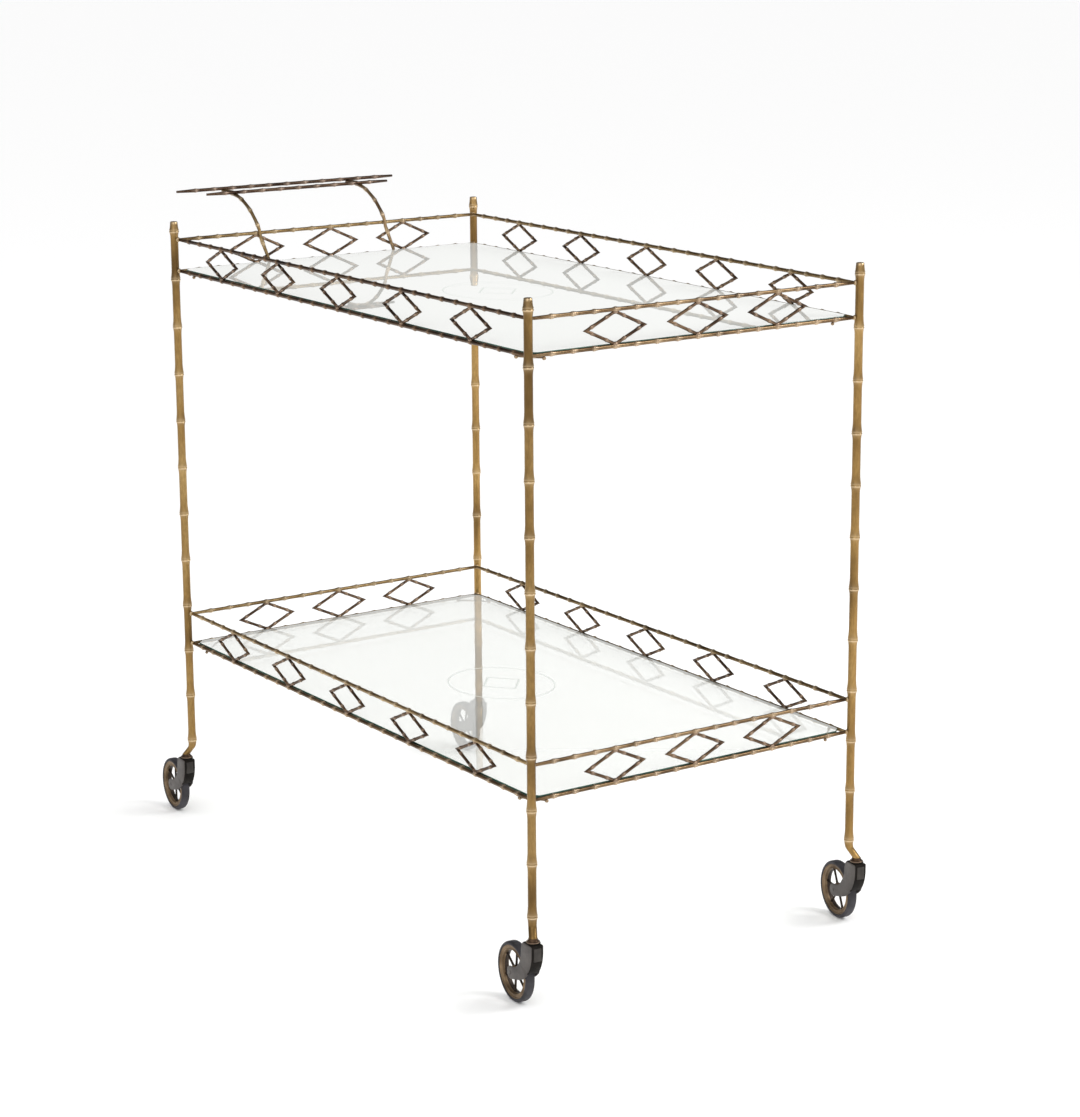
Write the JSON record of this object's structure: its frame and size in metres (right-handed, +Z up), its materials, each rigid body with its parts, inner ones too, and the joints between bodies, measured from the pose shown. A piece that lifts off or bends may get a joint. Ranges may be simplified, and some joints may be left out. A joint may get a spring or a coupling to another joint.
{
  "type": "dessert trolley",
  "caption": "Serving trolley with faux-bamboo brass rods, glass shelves inside low lozenge galleries, a double-rod handle and swivel castors.",
  "frame": {"origin": "on the floor, under the middle of the trolley's outline seen from above", "axes": "+X to the front, the end away from the handle; +Y to the left; +Z up"},
  "size_m": [0.9272, 0.4945, 0.8325],
  "materials": {
    "post_brass": "aged satin",
    "rail_brass": "aged, darker in the recesses",
    "shelf_glass": "clear float glass, polished edge",
    "fork_steel": "dark grey, satin",
    "pin_steel": "worn steel",
    "rim_bronze": "dull bronze",
    "tyre_rubber": "matt rubber"
  },
  "bodies": {
    "frame": {"handle_arm_left": "rail_brass", "handle_arm_right": "rail_brass", "handle_inner_rod": "rail_brass", "handle_outer_rod": "rail_brass", "leg_ferrules": "post_brass", "lower_corner_braces": "rail_brass", "lower_gallery_rail_front": "rail_brass", "lower_gallery_rail_left": "rail_brass", "lower_gallery_rail_rear": "rail_brass", "lower_gallery_rail_right": "rail_brass", "lower_glass_shelf": "shelf_glass", "lower_lozenges_front": "rail_brass", "lower_lozenges_left": "rail_brass", "lower_lozenges_rear": "rail_brass", "lower_lozenges_right": "rail_brass", "lower_shelf_rail_front": "rail_brass", "lower_shelf_rail_left": "rail_brass", "lower_shelf_rail_rear": "rail_brass", "lower_shelf_rail_right": "rail_brass", "post_front_left": "post_brass", "post_front_right": "post_brass", "post_rear_left": "post_brass", "post_rear_right": "post_brass", "swivel_pins": "pin_steel", "upper_corner_braces": "rail_brass", "upper_gallery_rail_front": "rail_brass", "upper_gallery_rail_left": "rail_brass", "upper_gallery_rail_rear": "rail_brass", "upper_gallery_rail_right": "rail_brass", "upper_glass_shelf": "shelf_glass", "upper_lozenges_front": "rail_brass", "upper_lozenges_left": "rail_brass", "upper_lozenges_rear": "rail_brass", "upper_lozenges_right": "rail_brass", "upper_shelf_rail_front": "rail_brass", "upper_shelf_rail_left": "rail_brass", "upper_shelf_rail_rear": "rail_brass", "upper_shelf_rail_right": "rail_brass"},
    "swivel_front_right": {"caster_fork_front_right": "fork_steel", "caster_axle_front_right": "pin_steel"},
    "wheel_front_right": {"wheel_rim_front_right": "rim_bronze", "wheel_tyre_front_right": "tyre_rubber"},
    "swivel_front_left": {"caster_fork_front_left": "fork_steel", "caster_axle_front_left": "pin_steel"},
    "wheel_front_left": {"wheel_rim_front_left": "rim_bronze", "wheel_tyre_front_left": "tyre_rubber"},
    "swivel_rear_right": {"caster_fork_rear_right": "fork_steel", "caster_axle_rear_right": "pin_steel"},
    "wheel_rear_right": {"wheel_rim_rear_right": "rim_bronze", "wheel_tyre_rear_right": "tyre_rubber"},
    "swivel_rear_left": {"caster_fork_rear_left": "fork_steel", "caster_axle_rear_left": "pin_steel"},
    "wheel_rear_left": {"wheel_rim_rear_left": "rim_bronze", "wheel_tyre_rear_left": "tyre_rubber"}
  },
  "joints": [
    {"name": "swivel_front_right", "type": "hinge", "parent": "frame", "child": "swivel_front_right", "pos_m": [0.4539, -0.23335, 0.08], "axis": [0, 0, 1], "continuous": true},
    {"name": "wheel_front_right", "type": "hinge", "parent": "swivel_front_right", "child": "wheel_front_right", "pos_m": [0.41405, -0.22986, 0.035], "axis": [0.0872, 0.9962, 0], "continuous": true},
    {"name": "swivel_front_left", "type": "hinge", "parent": "frame", "child": "swivel_front_left", "pos_m": [0.4539, 0.23335, 0.08], "axis": [0, 0, 1], "continuous": true},
    {"name": "wheel_front_left", "type": "hinge", "parent": "swivel_front_left", "child": "wheel_front_left", "pos_m": [0.41439, 0.23961, 0.035], "axis": [0.1564, 0.9877, 0], "continuous": true},
    {"name": "swivel_rear_right", "type": "hinge", "parent": "frame", "child": "swivel_rear_right", "pos_m": [-0.3804, -0.23335, 0.08], "axis": [0, 0, 1], "continuous": true},
    {"name": "wheel_rear_right", "type": "hinge", "parent": "swivel_rear_right", "child": "wheel_rear_right", "pos_m": [-0.4203, -0.23056, 0.035], "axis": [0.0698, 0.9976, 0], "continuous": true},
    {"name": "swivel_rear_left", "type": "hinge", "parent": "frame", "child": "swivel_rear_left", "pos_m": [-0.3804, 0.23335, 0.08], "axis": [0, 0, 1], "continuous": true},
    {"name": "wheel_rear_left", "type": "hinge", "parent": "swivel_rear_left", "child": "wheel_rear_left", "pos_m": [-0.42035, 0.23544, 0.035], "axis": [0.0523, 0.9986, 0], "continuous": true}
  ]
}
